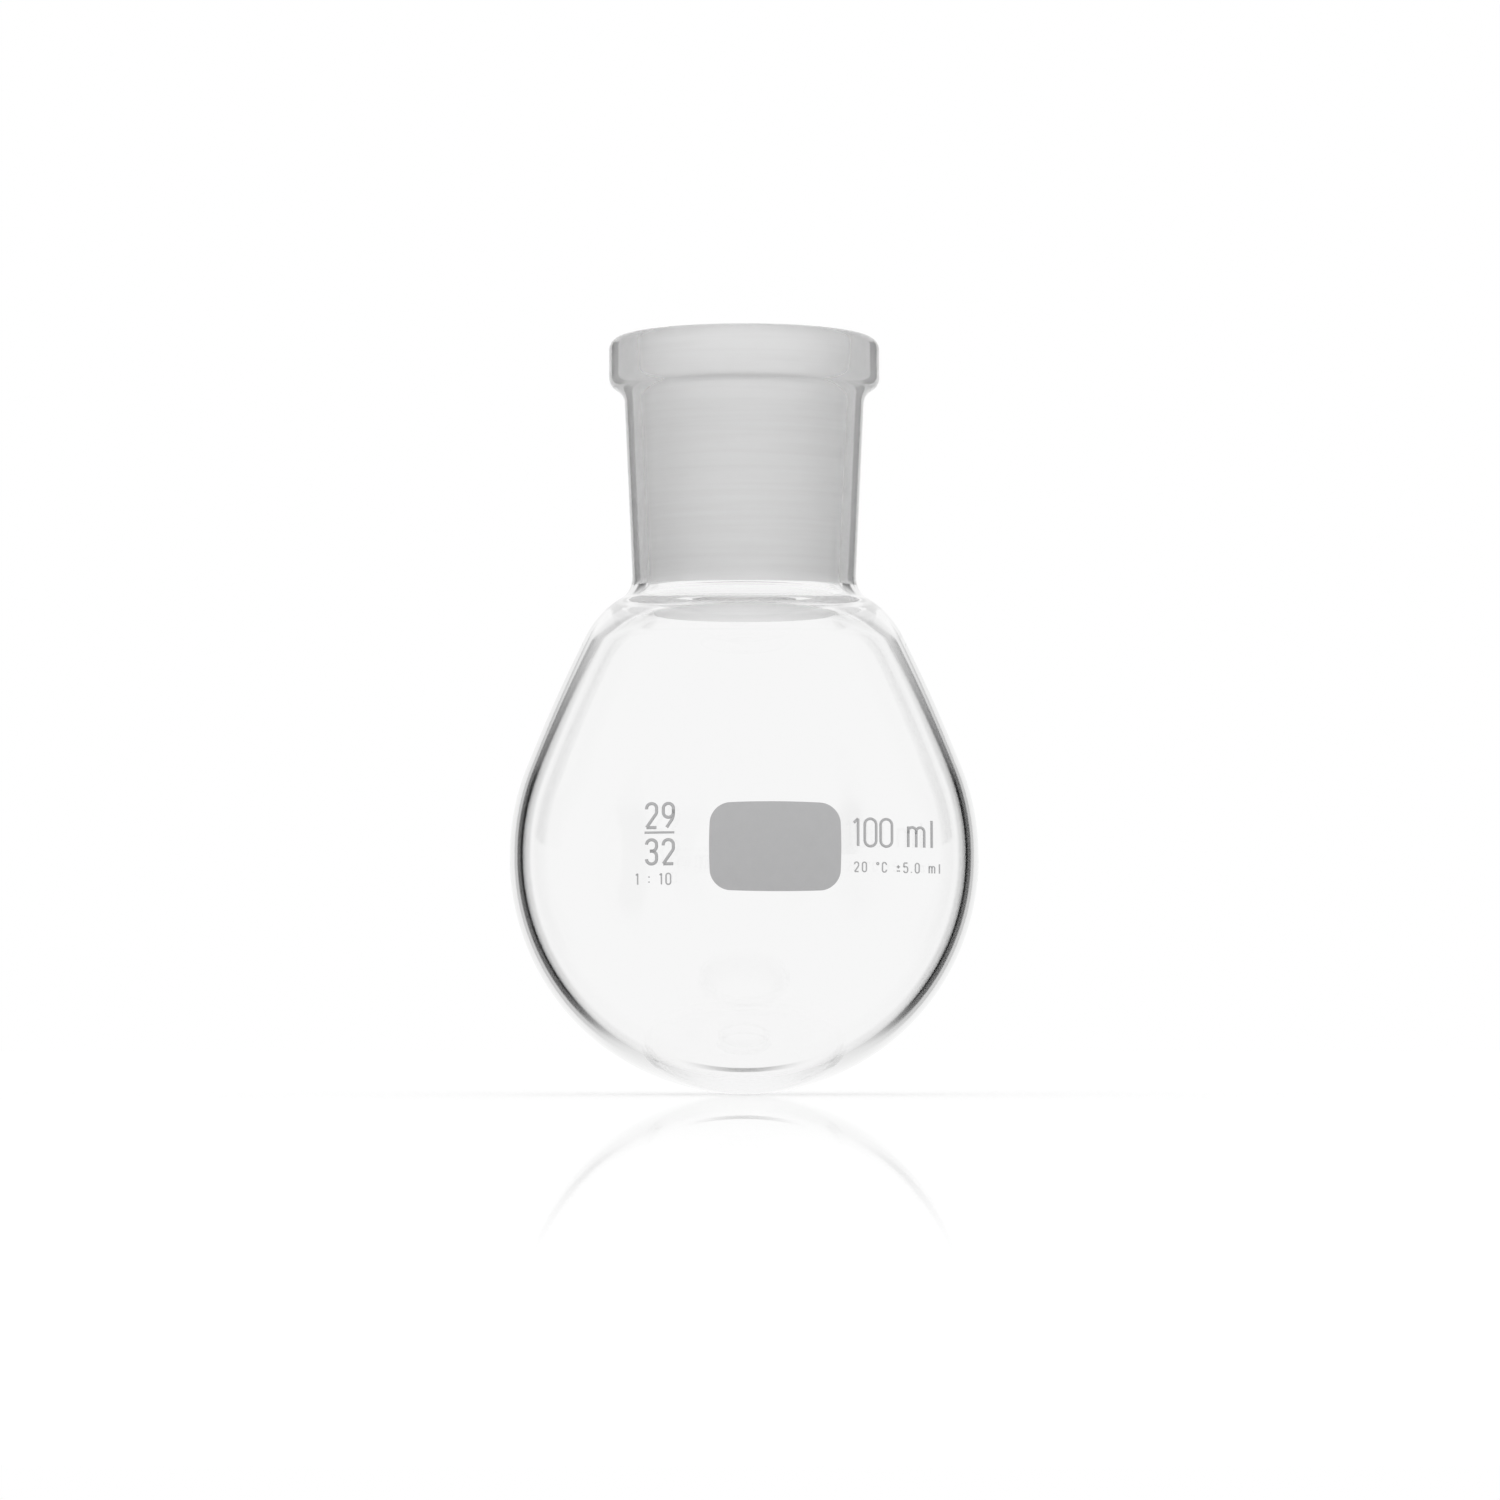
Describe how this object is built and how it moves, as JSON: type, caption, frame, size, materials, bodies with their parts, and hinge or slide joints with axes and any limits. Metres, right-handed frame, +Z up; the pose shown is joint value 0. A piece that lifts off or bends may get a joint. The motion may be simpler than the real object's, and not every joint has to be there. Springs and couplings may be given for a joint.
{
  "type": "pear-shaped flask",
  "caption": "Pear-shaped 100 ml glass flask for laboratory distillation, with a ground 29/32 socket in a collared neck and a grey enamel writing field on the bulb.",
  "frame": {"origin": "centre of the mouth: where the flask's axis meets the plane of the rim, at the wide end of the ground socket", "axes": "+Z up along the flask's axis, out of the mouth; -Y is the front, beside the enamel field, which is turned 7.6 degrees towards +X"},
  "size_m": [0.0642, 0.0643, 0.1038],
  "materials": {
    "glass": "clear fire-polished borosilicate glass, with the cone inside the neck ground matt",
    "enamel": "grey screen-printed enamel, fired on, satin"
  },
  "bodies": {
    "root": {"flask": "glass", "marking_field": "enamel"}
  },
  "joints": []
}
